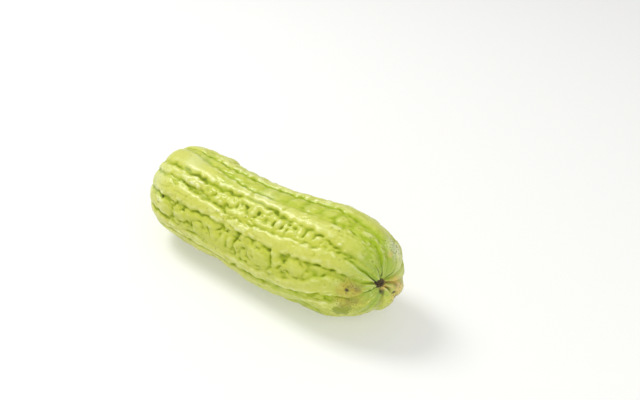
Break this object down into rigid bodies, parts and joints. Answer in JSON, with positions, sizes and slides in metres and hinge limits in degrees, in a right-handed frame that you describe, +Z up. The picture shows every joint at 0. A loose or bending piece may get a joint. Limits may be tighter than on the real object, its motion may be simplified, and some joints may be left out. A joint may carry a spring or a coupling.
{
  "type": "bitter melon",
  "caption": "Whole pale green bitter melon lying on its side, blunt at both ends, with lengthwise ribs, warty lobes between them and a dry stem scar.",
  "frame": {"origin": "on the surface that the fruit lies on, under the middle of its bounding box", "axes": "+X along the fruit towards its stem scar, +Z up, the side shown in the picture faces -Y"},
  "size_m": [0.2154, 0.077, 0.0737],
  "materials": {
    "skin": "waxy satin plant skin, pale yellow-green on the ribs and darker green in the creases"
  },
  "bodies": {
    "root": {"bitter_melon": "skin"}
  },
  "joints": []
}
